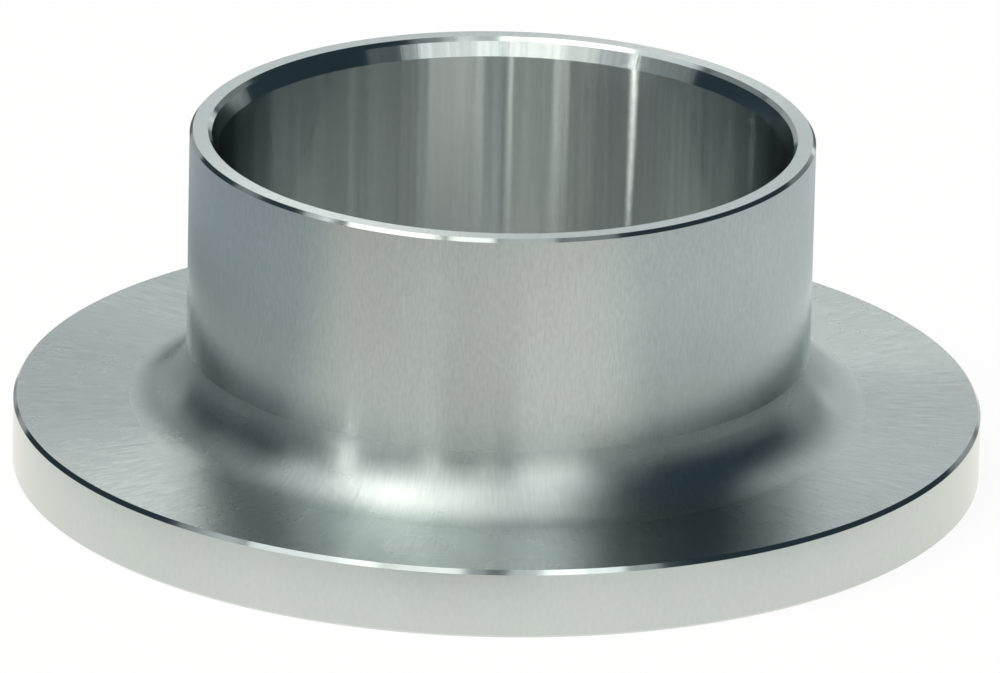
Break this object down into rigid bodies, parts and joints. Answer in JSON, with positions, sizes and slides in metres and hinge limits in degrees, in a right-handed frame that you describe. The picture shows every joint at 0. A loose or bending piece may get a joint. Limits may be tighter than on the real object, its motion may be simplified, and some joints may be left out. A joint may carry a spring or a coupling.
{
  "type": "weld collar ring",
  "caption": "Turned stainless stub collar: a short butt-weld neck on a flat collar, clamped by a loose flange.",
  "frame": {"origin": "centre of the flat sealing face under the collar", "axes": "+Z along the bore, from the sealing face up to the weld end; X and Y lie in the sealing face, with no preferred direction"},
  "size_m": [0.138, 0.138, 0.05],
  "materials": {
    "turned_steel": "bare stainless steel, fine turned finish all over, edges lightly broken"
  },
  "bodies": {
    "root": {"collar_ring": "turned_steel"}
  },
  "joints": []
}
